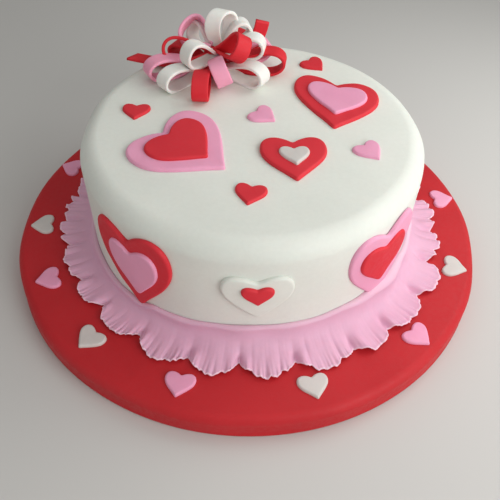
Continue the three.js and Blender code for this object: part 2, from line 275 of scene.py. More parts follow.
@dataclass(frozen=True)
class PasteFinish:
    """Satin finish of rolled sugar paste, with soft patches of colour and a fine powdery grain.

    Attributes:
        name: name of the material.
        colour: colour of the lighter patches, linear.
        deep: colour of the darker patches, linear.
        roughness: lowest and highest roughness.
        patch: waves of the patches to a metre.
        speckle: waves of the speckle to a metre.
        powder: waves of the powdery grain to a metre.
        grain: height of the grain in metres.
        glow: share of the light that spreads under the surface.
        spread: how far that light spreads, in metres.
        shine: strength of the mirror-like reflection.
        pale: colour where the paste is thin and of the painted highlights, linear, or nothing.
    """

    name: str
    colour: Colour
    deep: Colour
    roughness: tuple[float, float] = (0.52, 0.66)
    patch: float = 22.0
    speckle: float = 420.0
    powder: float = 1700.0
    grain: float = 0.00012
    glow: float = 0.12
    spread: float = 0.002
    shine: float = 0.3
    pale: Colour | None = None

    def material(self) -> bpy.types.Material:
        """Builds the node material.

        Returns:
            A material whose colour, roughness and grain come from noise on Object coordinates.
        """
        material = bpy.data.materials.new(self.name)
        material.use_nodes = True
        tree = material.node_tree
        tree.nodes.clear()
        output = tree.nodes.new("ShaderNodeOutputMaterial")
        shader = tree.nodes.new("ShaderNodeBsdfPrincipled")
        tree.links.new(shader.outputs["BSDF"], output.inputs["Surface"])
        place = tree.nodes.new("ShaderNodeTexCoord")
        patches = self._noise(tree, place, self.patch, 3.0, 0.55)
        speckle = self._noise(tree, place, self.speckle, 2.0, 0.5)
        powder = self._noise(tree, place, self.powder, 2.0, 0.6)
        tree.links.new(self._colour(tree, patches, speckle), shader.inputs["Base Color"])
        self._span(tree, speckle, (0.35, 0.65), self.roughness, shader.inputs["Roughness"])
        soft = self._bump(tree, speckle, 0.1, self.grain * 2.5)
        fine = self._bump(tree, powder, 0.4, self.grain)
        tree.links.new(soft.outputs["Normal"], fine.inputs["Normal"])
        tree.links.new(fine.outputs["Normal"], shader.inputs["Normal"])
        shader.inputs["Specular IOR Level"].default_value = self.shine
        shader.inputs["Subsurface Weight"].default_value = self.glow
        shader.inputs["Subsurface Radius"].default_value = (1.0, 0.6, 0.5)
        shader.inputs["Subsurface Scale"].default_value = self.spread
        return material

    def _colour(
        self, tree: bpy.types.NodeTree, patches: bpy.types.Node, speckle: bpy.types.Node
    ) -> bpy.types.NodeSocket:
        """Blends the two colours by the patches, flecks them, and pales them where the paste is thin
        and where highlights are painted.

        Args:
            tree: the material's nodes and links.
            patches: the noise of the patches.
            speckle: the noise of the flecks.

        Returns:
            The socket that gives the colour.
        """
        blend = tree.nodes.new("ShaderNodeMix")
        blend.data_type = "RGBA"
        blend.inputs["A"].default_value = (*self.deep, 1.0)
        blend.inputs["B"].default_value = (*self.colour, 1.0)
        self._span(tree, patches, (0.32, 0.66), (0.0, 1.0), blend.inputs["Factor"])
        fleck = tree.nodes.new("ShaderNodeHueSaturation")
        self._span(tree, speckle, (0.3, 0.7), (0.982, 1.01), fleck.inputs["Value"])
        tree.links.new(blend.outputs["Result"], fleck.inputs["Color"])
        if self.pale is None:
            return fleck.outputs["Color"]
        # Paled where the paste is thin, and by painted highlights on the frill's lip crest and pleat
        # ridges.
        mark = tree.nodes.new("ShaderNodeAttribute")
        mark.attribute_name = "thin_and_highlight"
        fade = tree.nodes.new("ShaderNodeMix")
        fade.data_type = "RGBA"
        fade.inputs["B"].default_value = (*self.pale, 1.0)
        tree.links.new(mark.outputs["Fac"], fade.inputs["Factor"])
        tree.links.new(fleck.outputs["Color"], fade.inputs["A"])
        return fade.outputs["Result"]

    @staticmethod
    def _span(
        tree: bpy.types.NodeTree,
        noise: bpy.types.Node,
        taken: tuple[float, float],
        given: tuple[float, float],
        target: bpy.types.NodeSocket,
    ) -> None:
        """Maps a noise in a straight line from one span to another, for a socket.

        Args:
            tree: the material's nodes and links.
            noise: the noise texture.
            taken: low and high end of the span of the noise.
            given: the values at those ends.
            target: the socket that takes the result.
        """
        span = tree.nodes.new("ShaderNodeMapRange")
        span.inputs["From Min"].default_value = taken[0]
        span.inputs["From Max"].default_value = taken[1]
        span.inputs["To Min"].default_value = given[0]
        span.inputs["To Max"].default_value = given[1]
        tree.links.new(noise.outputs["Fac"], span.inputs["Value"])
        tree.links.new(span.outputs["Result"], target)

    @staticmethod
    def _bump(
        tree: bpy.types.NodeTree, noise: bpy.types.Node, strength: float, height: float
    ) -> bpy.types.Node:
        """Adds a bump that follows a noise.

        Args:
            tree: the material's nodes and links.
            noise: the noise texture.
            strength: how much of the bump shows.
            height: its height in metres.

        Returns:
            The bump node.
        """
        bump = tree.nodes.new("ShaderNodeBump")
        bump.inputs["Strength"].default_value = strength
        bump.inputs["Distance"].default_value = height
        tree.links.new(noise.outputs["Fac"], bump.inputs["Height"])
        return bump

    @staticmethod
    def _noise(
        tree: bpy.types.NodeTree, place: bpy.types.Node, scale: float, detail: float, rough: float
    ) -> bpy.types.Node:
        """Adds a noise texture on Object coordinates.

        Args:
            tree: the material's nodes and links.
            place: the texture coordinate node.
            scale: waves to a metre.
            detail: octaves.
            rough: weight of the finer octaves.

        Returns:
            The noise node.
        """
        noise = tree.nodes.new("ShaderNodeTexNoise")
        noise.inputs["Scale"].default_value = scale
        noise.inputs["Detail"].default_value = detail
        noise.inputs["Roughness"].default_value = rough
        tree.links.new(place.outputs["Object"], noise.inputs["Vector"])
        return noise


@dataclass(frozen=True)
class Kitchen:
    """Holds the finishes, and hands each piece to the frame.

    Attributes:
        finishes: the finish of each colour of paste.
        materials: the materials built so far, by name.
    """

    finishes: dict[Paste, PasteFinish]
    materials: dict[str, bpy.types.Material]

    def material_of(self, paste: Paste) -> bpy.types.Material:
        """Material of a colour of paste, built when it is first asked for.

        Args:
            paste: the colour.

        Returns:
            Its material.
        """
        finish = self.finishes[paste]
        if finish.name not in self.materials:
            self.materials[finish.name] = finish.material()
        return self.materials[finish.name]

    def serve(self, surface: Surface, name: str, paste: Paste, node: str) -> None:
        """Puts a surface on the cake in the place of a node.

        Args:
            surface: the shape.
            name: name of the piece.
            paste: its colour of paste.
            node: the node that it stands for.
        """
        piece = surface.put(name, self.material_of(paste))
        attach(piece, BODY)
        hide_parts(node)
        log.info("%s: %d faces, for node %s", name, len(piece.data.polygons), node)


def rounded_profile(radius: float, low: float, high: float, edge: float, foot: float) -> Array:
    """Half section of a disc with a rounded upper edge, from its middle below to its middle above.

    The underside and the top are straight lines from the axis with ever closer points, the foot
    is a small quarter circle, the wall a straight line and the edge a large quarter circle.

    Args:
        radius: radius of the disc.
        low: height of its underside.
        high: height of its top.
        edge: radius of the upper edge.
        foot: radius of the lower edge.

    Returns:
        Radius and height of each point of the section.
    """
    spread = np.linspace(0.03, 1.0, 16)
    under_r = (radius - foot) * spread
    turn = np.linspace(-0.5 * math.pi, 0.0, 6)[1:]
    lower_r, lower_z = radius - foot + foot * np.cos(turn), low + foot + foot * np.sin(turn)
    wall_z = np.linspace(low + foot, high - edge, 26)[1:-1]
    turn = np.linspace(0.0, 0.5 * math.pi, 22)
    upper_r, upper_z = radius - edge + edge * np.cos(turn), high - edge + edge * np.sin(turn)
    lid_r = (radius - edge) * spread[::-1][1:]
    out = [under_r, lower_r, np.full_like(wall_z, radius), upper_r, lid_r]
    up = [np.full_like(under_r, low), lower_z, wall_z, upper_z, np.full_like(lid_r, high)]
    return np.stack([np.concatenate(out), np.concatenate(up)], axis=-1)


@dataclass(frozen=True)
class IcedBase:
    """Round base under its coat of red icing.

    Attributes:
        radius: radius of the base.
        edge: radius of its upper edge.
        foot: radius of its lower edge.
        around: points round the base.
        uneven: how far the hand-smoothed wall strays from the circle.
        rim: width of the rim that strays with the wall.
        dip: height of the soft waves of the top.
    """

    radius: float = 156.0
    edge: float = 5.5
    foot: float = 1.2
    around: int = 480
    uneven: float = 0.35
    rim: float = 14.0
    dip: float = 0.16

    def surface(self) -> Surface:
        """Section turned about the axis, whose wall wavers inwards and whose top has soft waves.

        The wall's ripple fades out across the rim and towards the underside, and the top's waves
        fade in over the upper half of the wall.

        Returns:
            The base's closed surface.
        """
        section = rounded_profile(self.radius, 0.0, BASE_HEIGHT, self.edge, self.foot)
        radius, height = section[:, :1], section[:, 1:]
        angle = circle(self.around)
        near_rim = smooth((radius - self.radius + self.rim) / self.rim)
        off_floor = smooth(height / 4.0)
        r = radius + self.uneven * near_rim * (waves(angle, 5, 3, 17, 7) - 1.0) * off_floor
        x, y = r * np.cos(angle), r * np.sin(angle)
        near_top = smooth((height - 8.0) / 6.0)
        z = height + self.dip * near_top * (wander(x, y, 3, 60.0) - 1.0)
        ends = np.array([[0.0, 0.0, 0.0], [0.0, 0.0, BASE_HEIGHT - self.dip]])
        return Surface(np.stack([x, y, z], axis=-1), ends)

    def build(self, kitchen: Kitchen) -> None:
        """Serves the base."""
        kitchen.serve(self.surface(), "iced_base", Paste.RED, "base_icing")


@dataclass(frozen=True)
class FondantCoat:
    """White coat of the cake, with its soft upper edge.

    Attributes:
        edge: radius of the upper edge.
        foot: radius of the lower edge.
        around: points round the cake.
        uneven: how far the wall strays from the circle.
        rim: width of the rim of the top that strays with the wall.
        shoulder: height where the wall bulges most.
        bulge: how far it bulges there.
        dip: height of the soft waves of the top.
    """

    edge: float = 12.0
    foot: float = 0.8
    around: int = 600
    uneven: float = 0.22
    rim: float = 30.0
    shoulder: float = 84.0
    bulge: float = 0.25
    dip: float = 0.15

    def surface(self) -> Surface:
        """Section turned about the axis, with gentle waves in the wall, the edge and the top.

        The wall's ripple fades out across the rim, the shoulder bulges by a bell curve of the
        height, and the top's waves fade in over the upper part of the wall.

        Returns:
            The coat's closed surface.
        """
        section = rounded_profile(CAKE_RADIUS, BASE_HEIGHT, CAKE_TOP, self.edge, self.foot)
        radius, height = section[:, :1], section[:, 1:]
        angle = circle(self.around)
        near_rim = smooth((radius - CAKE_RADIUS + self.rim) / self.rim)
        ripple = self.uneven * near_rim * (waves(angle, 8, 3, 15, 8) - 0.8)
        bulge = self.bulge * hump(height - self.shoulder, 16.0) * waves(angle, 21, 2, 7, 5)
        r = radius + ripple + near_rim * bulge
        x, y = r * np.cos(angle), r * np.sin(angle)
        near_top = smooth((height - 70.0) / 22.0)
        z = height + self.dip * near_top * (wander(x, y, 11, 75.0) - 0.8)
        rings = np.stack([x + CAKE_X, y + CAKE_Y, z], axis=-1)
        return Surface(rings, np.array([[CAKE_X, CAKE_Y, BASE_HEIGHT], rings[-1].mean(0)]))

    def build(self, kitchen: Kitchen) -> None:
        """Serves the coat."""
        kitchen.serve(self.surface(), "fondant_coat", Paste.WHITE, "cake_icing")


@dataclass(frozen=True)
class HeartCutter:
    """Heart-shaped cutter, as two curves of one half.

    Attributes:
        lobe: control points from the notch over the lobe to the widest point.
        flank: control points from there down to the tip.
    """

    lobe: tuple[tuple[float, float], ...] = ((0.0, 0.13), (0.185, 0.3), (0.5, 0.335), (0.5, 0.0))
    flank: tuple[tuple[float, float], ...] = ((0.5, 0.0), (0.5, -0.27), (0.18, -0.46), (0.0, -0.68))

    @staticmethod
    def _curve(controls: tuple[tuple[float, float], ...], steps: int) -> Array:
        """Cubic curve of four control points at even steps of its parameter."""
        t = np.linspace(0.0, 1.0, steps)[:, None]
        return cubic(t, *np.array(controls))

    def outline(self, wide: float, tall: float, count: int, soft: float) -> Array:
        """Outline of a cut heart, tip down, round the middle of its box.

        The two curves and their mirror image are spaced evenly by length. Their sharp corners
        are eased by damping the outline's fast waves with a bell curve.

        Args:
            wide: width in millimetres.
            tall: height in millimetres.
            count: number of points.
            soft: radius in millimetres over which the corners are eased.

        Returns:
            The points, across and up.
        """
        right = np.concatenate([self._curve(self.lobe, 60), self._curve(self.flank, 60)[1:]])
        points = np.concatenate([right, right[-2::-1] * np.array([-1.0, 1.0])])
        top, tip = points[:, 1].max(), points[:, 1].min()
        points = (points - np.array([0.0, (top + tip) / 2.0])) * np.array([wide, tall / (top - tip)])
        steps = np.hypot(*np.diff(points, axis=0).T)
        length = np.concatenate([[0.0], np.cumsum(steps)])
        even = np.linspace(0.0, length[-1], count, endpoint=False)
        ring = np.interp(even, length, points[:, 0]) + 1j * np.interp(even, length, points[:, 1])
        cycles = np.fft.fftfreq(count, 1.0 / count)
        damping = np.exp(-0.5 * (2.0 * math.pi * soft * cycles / length[-1]) ** 2)
        eased = np.fft.ifft(np.fft.fft(ring) * damping)
        return np.stack([eased.real, eased.imag], axis=-1)


LARGE_CUTTER = HeartCutter()
SMALL_CUTTER = HeartCutter(flank=((0.5, 0.0), (0.5, -0.23), (0.2, -0.44), (0.0, -0.68)))


@dataclass(frozen=True)
class HeartPlate:
    """One cut heart of rolled paste, before it is laid on the cake.

    Attributes:
        wide: width in millimetres.
        tall: height in millimetres.
        thick: thickness in millimetres.
        seed: seed of its small unevenness.
        skew: how far one lobe hangs under the other, as a share of the distance across.
        crown: how much thicker its middle is than its rim.
        cutter: the cutter that it was cut with.
        ease: radius over which the corners of a large heart are eased.
        small_ease: the same radius for a smaller heart.
        bevel: how far the edge of its back is cut away.
    """

    wide: float
    tall: float
    thick: float
    seed: int
    skew: float = 0.0
    crown: float = 0.12
    cutter: HeartCutter = LARGE_CUTTER
    ease: float = 1.3
    small_ease: float = 0.7
    bevel: float = 0.25

    def grid(self) -> tuple[Array, Array, Array]:
        """Rings of the plate from the middle of its back, round the rim, to the middle of its front.

        Near the rim a ring is the outline drawn in by a length towards the middle, and the edge
        follows a quarter circle. Further in, the rings shrink in proportion.

        Returns:
            Across, up and out of each point, each as rings by points.
        """
        large = self.wide > LARGE_FROM
        count = 176 if large else 112
        soft = self.ease if large else self.small_ease
        edge = self.cutter.outline(self.wide, self.tall, count, soft)
        edge = edge + np.array([0.0, 1.0]) * self.skew * edge[:, :1]
        reach = np.hypot(edge[:, 0], edge[:, 1])
        round_off = min(1.7, 0.7 * self.thick)
        wall = self.thick - round_off
        turn = np.linspace(0.0, 0.5 * math.pi, 7)[1:]
        draw_in = np.concatenate([[self.bevel, 0.0, 0.0], round_off * (1.0 - np.cos(turn))])
        lift = np.concatenate([[0.0, self.bevel, wall], self.thick - round_off * (1.0 - np.sin(turn))])
        rim = edge[None] * (1.0 - draw_in[:, None] / reach[None])[..., None]
        shrink = np.array([0.93, 0.85, 0.75, 0.63, 0.5, 0.36, 0.2, 0.07])
        front = rim[-1][None] * shrink[:, None, None]
        back = rim[0][None] * shrink[::-2][:, None, None]
        flat = np.concatenate([back, rim, front])
        out = np.concatenate([np.zeros(len(back)), lift, self.thick + self.crown * (1.0 - shrink**2)])
        height = out[:, None]
        raised = smooth(height / self.thick)
        height = height + 0.1 * raised * wander(flat[..., 0], flat[..., 1], self.seed, 16.0)
        wobble = 1.0 + 0.006 * waves(np.arctan2(edge[:, 1], edge[:, 0]), self.seed, 2, 6, 3)
        return flat[..., 0] * wobble, flat[..., 1] * wobble, height

    def laid_flat(self, x: float, y: float, z: float, turn: float) -> Surface:
        """The plate on a level surface.

        Args:
            x: place of its middle.
            y: place of its middle.
            z: height of its underside.
            turn: its turn about the vertical in degrees.

        Returns:
            The plate's surface, its across and up turned and moved into place.
        """
        across, up, out = self.grid()
        c, s = math.cos(math.radians(turn)), math.sin(math.radians(turn))
        rings = np.stack([x + c * across - s * up, y + s * across + c * up, z + out], axis=-1)
        return Surface(rings, np.stack([rings[0].mean(0), rings[-1].mean(0)]))

    def laid_on_wall(
        self, angle: float, middle: float, turn: float, shift: tuple[float, float], lift: float
    ) -> Surface:
        """The plate bent round the wall of the cake.

        Its across becomes an arc of the wall's circle, its up a height, and its out a radius.

        Args:
            angle: angle of the middle of its hearts in degrees.
            middle: height of that middle.
            turn: turn of the hearts in degrees.
            shift: how far across and up its own middle lies from there.
            lift: how far its back stands off the wall.

        Returns:
            The plate's surface.
        """
        across, up, out = self.grid()
        c, s = math.cos(math.radians(turn)), math.sin(math.radians(turn))
        across, up = across + shift[0], up + shift[1]
        bearing = math.radians(angle) + (c * across - s * up) / CAKE_RADIUS
        radius = CAKE_RADIUS + lift + out
        height = middle + s * across + c * up
        x, y = CAKE_X + radius * np.cos(bearing), CAKE_Y + radius * np.sin(bearing)
        rings = np.stack([x, y, height], axis=-1)
        return Surface(rings, np.stack([rings[0].mean(0), rings[-1].mean(0)]))


@dataclass(frozen=True)
class TopHeart:
    """A heart on the top.

    Attributes:
        node: the node that it stands for.
        paste: its colour.
        x: place of its middle.
        y: place of its middle.
        turn: its turn about the vertical in degrees.
        wide: its width.
        tall: its height.
        skew: how far one lobe hangs under the other, as a share of the distance across.
        thick: its thickness over what it lies on.
    """

    node: str
    paste: Paste
    x: float
    y: float
    turn: float
    wide: float
    tall: float
    skew: float
    thick: float


@dataclass(frozen=True)
class TopHearts:
    """Hearts on the top of the cake.

    Attributes:
        hearts: the hearts, of the double ones the smaller heart after the larger.
    """

    hearts: tuple[TopHeart, ...] = (
        TopHeart("top_heart_1", Paste.RED, 53.5, 23.4, -5.9, 55, 54, -0.165, LARGE_THICK),
        TopHeart("top_heart_1_inner", Paste.PINK, 54.2, 25.3, -7.4, 38.4, 33, -0.155, INNER_THICK),
        TopHeart("top_heart_2", Paste.PINK, -35.1, -26.6, 51.8, 61, 57.2, 0.02, LARGE_THICK),
        TopHeart("top_heart_2_inner", Paste.RED, -37.1, -25.6, 51, 42.6, 36.7, 0.06, INNER_THICK),
        TopHeart("top_heart_3", Paste.RED, 26.1, -33.3, 3.5, 39.5, 38.6, 0, LARGE_THICK),
        TopHeart("top_heart_3_inner", Paste.WHITE, 26.3, -33.1, 6, 17.8, 16.4, -0.04, SMALL_THICK),
        TopHeart("top_heart_4", Paste.RED, -70.8, 8.2, 1, 17.5, 16, 0, SMALL_THICK),
        TopHeart("top_heart_5", Paste.PINK, 8.6, 8.2, 53, 18, 17, 0, SMALL_THICK),
        TopHeart("top_heart_6", Paste.PINK, 70.3, -24.5, 34, 17.5, 17, 0, SMALL_THICK),
        TopHeart("top_heart_7", Paste.RED, 42.5, 70, 40, 17, 16.5, 0, SMALL_THICK),
        TopHeart("top_heart_8", Paste.RED, 1.3, -64.9, -9, 18, 16.8, 0, SMALL_THICK),
    )

    def build(self, kitchen: Kitchen) -> None:
        """Serves each heart, a smaller one on the heart under it.

        Args:
            kitchen: what dresses the hearts.
        """
        for number, heart in enumerate(self.hearts):
            upper = heart.node.endswith("inner")
            below = CAKE_TOP + (LARGE_THICK if upper else 0.0) - SUNK
            thick = heart.thick + SUNK - PRESSED
            cutter = SMALL_CUTTER if heart.wide < SMALL_BELOW else LARGE_CUTTER
            plate = HeartPlate(heart.wide, heart.tall, thick, 40 + number, heart.skew, cutter=cutter)
            surface = plate.laid_flat(heart.x, heart.y, below, heart.turn)
            kitchen.serve(surface, f"paste_{heart.node}", heart.paste, heart.node)


class WallSize(Enum):
    """Outer width and height of a double heart, and inner width, height and thickness."""

    LARGE = (56.0, 57.0, 37.5, 36.0, INNER_THICK)
    LEFT = (58.5, 58.0, 36.0, 36.8, INNER_THICK)
    RIGHT = (55.0, 58.0, 37.2, 31.5, INNER_THICK)
    MEDIUM = (39.5, 33.5, 17.6, 14.2, SMALL_THICK)


@dataclass(frozen=True)
class WallHeart:
    """A double heart on the wall.

    Attributes:
        angle: angle of its middle in degrees.
        middle: height of its middle.
        turn: its turn in degrees.
        size: its sizes.
        outer: colour of the larger heart.
        inner: colour of the smaller heart.
        shift: how far across and up the smaller heart lies from the middle.
    """

    angle: float
    middle: float
    turn: float
    size: WallSize
    outer: Paste
    inner: Paste
    shift: tuple[float, float]


@dataclass(frozen=True)
class WallHearts:
    """Double hearts round the wall of the cake.

    Attributes:
        hearts: the hearts, anticlockwise from the front left.
        own_node: how many of them have a node for their smaller heart.
    """

    hearts: tuple[WallHeart, ...] = (
        WallHeart(-127.9, 54.6, 6.5, WallSize.LEFT, Paste.RED, Paste.PINK, (2.9, 1.6)),
        WallHeart(-87.2, 59.3, 1.6, WallSize.MEDIUM, Paste.WHITE, Paste.RED, (0, 3.8)),
        WallHeart(-44.3, 56, -1, WallSize.RIGHT, Paste.PINK, Paste.RED, (-2.4, 4.6)),
        WallHeart(5, 60, 2, WallSize.MEDIUM, Paste.WHITE, Paste.RED, (0, 3)),
        WallHeart(48, 57, -2, WallSize.LARGE, Paste.RED, Paste.PINK, (1, 1)),
        WallHeart(90, 60.5, 1, WallSize.MEDIUM, Paste.WHITE, Paste.RED, (0, 3)),
        WallHeart(132, 57.5, 2, WallSize.LARGE, Paste.PINK, Paste.RED, (-1, 1)),
        WallHeart(175, 60, -1, WallSize.MEDIUM, Paste.WHITE, Paste.RED, (0, 3)),
    )
    own_node: int = 3

    def build(self, kitchen: Kitchen) -> None:
        """Serves the outer and the smaller heart of each.

        Args:
            kitchen: what dresses the hearts.
        """
        for number, heart in enumerate(self.hearts, 1):
            wide, tall, in_wide, in_tall, in_thick = heart.size.value
            node = f"side_heart_{number}"
            inner_node = f"{node}_inner" if number <= self.own_node else node
            outer = HeartPlate(wide, tall, LARGE_THICK + SUNK, 60 + number, ease=2.0)
            surface = outer.laid_on_wall(heart.angle, heart.middle, heart.turn, (0, 0), -SUNK)
            kitchen.serve(surface, f"paste_{node}", heart.outer, node)
            inner = HeartPlate(in_wide, in_tall, in_thick + SUNK, 80 + number, ease=1.8)
            surface = inner.laid_on_wall(
                heart.angle, heart.middle, heart.turn, heart.shift, LARGE_THICK - SUNK
            )
            kitchen.serve(surface, f"paste_{node}_inner", heart.inner, inner_node)


@dataclass(frozen=True)
class BaseHearts:
    """Small hearts round the base, tips outwards.

    Attributes:
        shown: angle, radius and lean of those at the front and the sides.
        hidden: how many carry the row on round the back.
        hidden_radius: radius that these lie at.
        hidden_lean: how far they lean to one side and the other by turns, in degrees.
        wide: width of a heart.
        tall: height of a heart.
    """

    shown: tuple[tuple[float, float, float], ...] = (
        (159.7, 144.0, 4.0),
        (185.1, 141.9, 5.0),
        (205.9, 139.9, -4.0),
        (229.4, 139.3, 3.0),
        (255.4, 138.9, 5.0),
        (286.8, 138.9, -2.0),
        (317.1, 142.4, -3.0),
        (343.5, 143.2, -3.0),
        (370.6, 144.2, -3.0),
    )
    hidden: int = 5
    hidden_radius: float = 142.0
    hidden_lean: float = 3.0
    wide: float = 18.0
    tall: float = 15.8

    def all_hearts(self) -> list[tuple[float, float, float]]:
        """The hearts that show and the hidden ones, which are spaced evenly over the gap.

        Returns:
            Angle, radius and lean of each heart.
        """
        last = self.shown[-1][0]
        step = (self.shown[0][0] + 360.0 - last) / (self.hidden + 1)
        leans = [self.hidden_lean if i % 2 else -self.hidden_lean for i in range(self.hidden)]
        back = [(last + step * (i + 1), self.hidden_radius, lean) for i, lean in enumerate(leans)]
        return [*self.shown, *back]

    def build(self, kitchen: Kitchen) -> None:
        """Serves each heart, pink and white by turns.

        Args:
            kitchen: what dresses the hearts.
        """
        for number, (angle, radius, lean) in enumerate(self.all_hearts()):
            paste = Paste.WHITE if number % 2 else Paste.PINK
            a = math.radians(angle)
            thick = SMALL_THICK + SUNK
            plate = HeartPlate(self.wide, self.tall, thick, 20 + number, cutter=SMALL_CUTTER)
            surface = plate.laid_flat(
                radius * math.cos(a), radius * math.sin(a), BASE_HEIGHT - SUNK, angle + 90.0 + lean
            )
            node = f"base_heart_{number + 1}"
            kitchen.serve(surface, f"paste_{node}", paste, node)


class Ruffle(NamedTuple):
    """One ruffle of the frill.

    Attributes:
        angle: angle of the notch where it starts, in degrees.
        notch: radius of that notch.
        reach: radius that it swells out to.
        scallops: number of its scallops.
        lean: how much they crowd towards one end.
    """

    angle: float
    notch: float
    reach: float
    scallops: int
    lean: float


class PleatSet(NamedTuple):
    """One set of the frill's pleats.

    Attributes:
        number: half as many as the grooves round the frill.
        height: height of the ridges over the grooves.
        start: where they start, 0 at the band and 1 at the edge.
        seed: seed of their unevenness.
    """

    number: int
    height: float
    start: float
    seed: int


@dataclass(frozen=True)
class Frill:
    """Pink frill round the foot of the cake.

    A rolled lip lies on the wall, a hollow band leans out under it, and a ruffled, pleated edge
    lies on the base.

    Attributes:
        line: angle and height of places on the upper line.
        shown: the ruffles that show.
        hidden_from: angle of the first hidden ruffle.
        hidden: number of hidden ruffles.
        draw_from: start of the draws that make the hidden ruffles uneven.
        farthest: radius that no ruffle reaches past.
        lift: how far the edge stands off the base.
        scallop_deep: mean depth of the scallops, and how much it varies.
        pleat_sets: the pleats, from coarse to fine.
        pleats_from: radius where the pleats start.
        band_foot: radius of the control point that the band bends round.
        lip_size: half the width of the lip.
        tuck: how far its back reaches into the wall.
        rest: height of its underside over the base.
        edge_thick: thickness of its outer edge.
        ride: how far the lip stands off where it rides over a large heart.
        ride_angle: angle of that place in degrees.
        ride_wide: width of that place in degrees.
        stations: points round the frill.
    """

    line: tuple[tuple[float, float], ...] = (
        (-180.0, 27.5),
        (-152.0, 28.5),
        (-138.0, 27.0),
        (-128.0, 27.5),
        (-120.0, 31.3),
        (-110.0, 31.8),
        (-98.0, 34.2),
        (-86.0, 35.0),
        (-72.0, 34.7),
        (-56.0, 36.5),
        (-45.0, 37.8),
        (-32.0, 38.5),
        (-15.0, 36.0),
        (8.0, 30.0),
        (40.0, 27.0),
        (90.0, 26.5),
        (135.0, 27.0),
    )
    shown: tuple[Ruffle, ...] = (
        Ruffle(-188.0, 124.8, 130.2, 3, 0.0),
        Ruffle(-176.5, 127.2, 130.6, 2, -0.3),
        Ruffle(-165.5, 122.5, 129.0, 3, 0.3),
        Ruffle(-150.0, 121.2, 128.2, 2, 0.0),
        Ruffle(-137.8, 118.8, 128.0, 2, 0.1),
        Ruffle(-121.7, 118.9, 129.9, 3, 0.1),
        Ruffle(-106.0, 120.5, 129.6, 3, -0.1),
        Ruffle(-92.0, 118.2, 129.6, 4, 0.1),
        Ruffle(-76.5, 119.6, 130.2, 4, 0.1),
        Ruffle(-59.8, 123.8, 131.0, 2, -0.4),
        Ruffle(-47.5, 124.2, 131.8, 2, 0.0),
        Ruffle(-31.5, 124.3, 133.8, 2, -0.1),
        Ruffle(-17.0, 121.5, 130.0, 3, -0.1),
        Ruffle(-3.3, 124.5, 130.2, 3, 0.1),
    )
    hidden_from: float = 12.0
    hidden: int = 11
    draw_from: int = 14
    farthest: float = 134.0
    lift: float = 2.3
    scallop_deep: tuple[float, float] = (3.2, 1.8)
    pleat_sets: tuple[PleatSet, ...] = (
        PleatSet(46, 0.9, 0.0, 52),
        PleatSet(83, 0.75, 0.1, 53),
        PleatSet(141, 0.5, 0.25, 54),
        PleatSet(230, 0.2, 0.5, 55),
    )
    pleats_from: float = 113.5
    band_foot: float = 112.5
    lip_size: float = 1.8
    tuck: float = 0.5
    rest: float = 0.05
    edge_thick: float = 1.05
    ride: float = 2.6
    ride_angle: float = -40.0
    ride_wide: float = 12.0
    stations: int = 1600

    def ruffles(self) -> Array:
        """Every ruffle, the hidden ones spaced evenly with a seeded stray.

        The draws step from one whole number to the next by a multiply and add, and divide it by
        its range.

        Returns:
            One row for each ruffle, with the values of a Ruffle in their order.
        """
        state = self.draw_from
        drawn = []
        for _ in range(4 * self.hidden):
            state = (state * 1664525 + 1013904223) % 4294967296
            drawn.append(state / 4294967296)
        numbers = iter(drawn)
        span = (self.shown[0].angle + 360.0 - self.hidden_from) / self.hidden
        back = []
        for i in range(self.hidden):
            stray = 0.4 * (next(numbers) - 0.5) if i else 0.0
            angle = self.hidden_from + span * (i + stray)
            notch, reach = 120.0 + 5.0 * next(numbers), 128.5 + 3.5 * next(numbers)
            back.append(Ruffle(angle, notch, reach, 2 + i % 3, 0.8 * (notch - 122.5) / 5.0))
        return np.array([*self.shown, *back])

    def upper_line(self, angle: Array) -> Array:
        """Height of the lip, eased from each given place to the next.

        Args:
            angle: angles in degrees.

        Returns:
            The height at each angle.
        """
        places = np.array([*self.line, (180.0, self.line[0][1])])
        turned = (angle + 540.0) % 360.0 - 180.0
        i = np.clip(np.searchsorted(places[:, 0], turned, "right"), 1, len(places) - 1)
        low, high = places[i - 1], places[i]
        share = (turned - low[:, 0]) / (high[:, 0] - low[:, 0])
        return low[:, 1] + (high[:, 1] - low[:, 1]) * smooth(share)

    def edge(self, angle: Array) -> tuple[Array, Array, Array, Array]:
        """Outer edge of the ruffles.

        Each ruffle swells from its notch as a power of a half sine. Its edge is scalloped by
        the size of a faster sine, more or less deeply by a seeded ripple, and finely uneven.
        Just past its notch it is folded up.

        Args:
            angle: angles in degrees, from the first notch on.

        Returns:
            Radius of the edge, its lift off the base, the distance to the nearest notch, and
            the distance past the last notch.
        """
        rows = self.ruffles()
        starts = np.concatenate([rows[:, 0], [rows[0, 0] + 360.0]])
        notches = np.concatenate([rows[:, 1], rows[:1, 1]])
        which = np.clip(np.searchsorted(starts, angle, "right") - 1, 0, len(rows) - 1)
        reach, scallops, lean = rows[which, 2], rows[which, 3], rows[which, 4]
        share = (angle - starts[which]) / (starts[which + 1] - starts[which])
        swell = np.sin(math.pi * np.clip(share, 0.0, 1.0)) ** 0.7
        low = notches[which] + (notches[which + 1] - notches[which]) * share
        bent = share + lean * share * (1.0 - share)
        scallop = np.abs(np.sin(math.pi * scallops * bent)) ** 0.85
        around = np.radians(angle)
        fine = waves(around, 77, 60, 150, 7) + 0.5 * waves(around, 78, 190, 380, 7)
        deep = self.scallop_deep[0] + self.scallop_deep[1] * waves(around, 79, 9, 24, 5)
        radius = low + (reach - low) * swell - deep * (1.0 - scallop) * swell
        radius = np.minimum(radius + 0.42 * fine * (0.4 + 0.6 * swell), self.farthest)
        high = 0.55 + 0.45 * waves(around, 91, 20, 46, 5)
        lift = self.lift * swell * np.clip(0.2 + 0.8 * scallop * high, 0.0, 1.3)
        past = angle - starts[which]
        away = np.minimum(past, starts[which + 1] - angle)
        return radius, lift, away, past

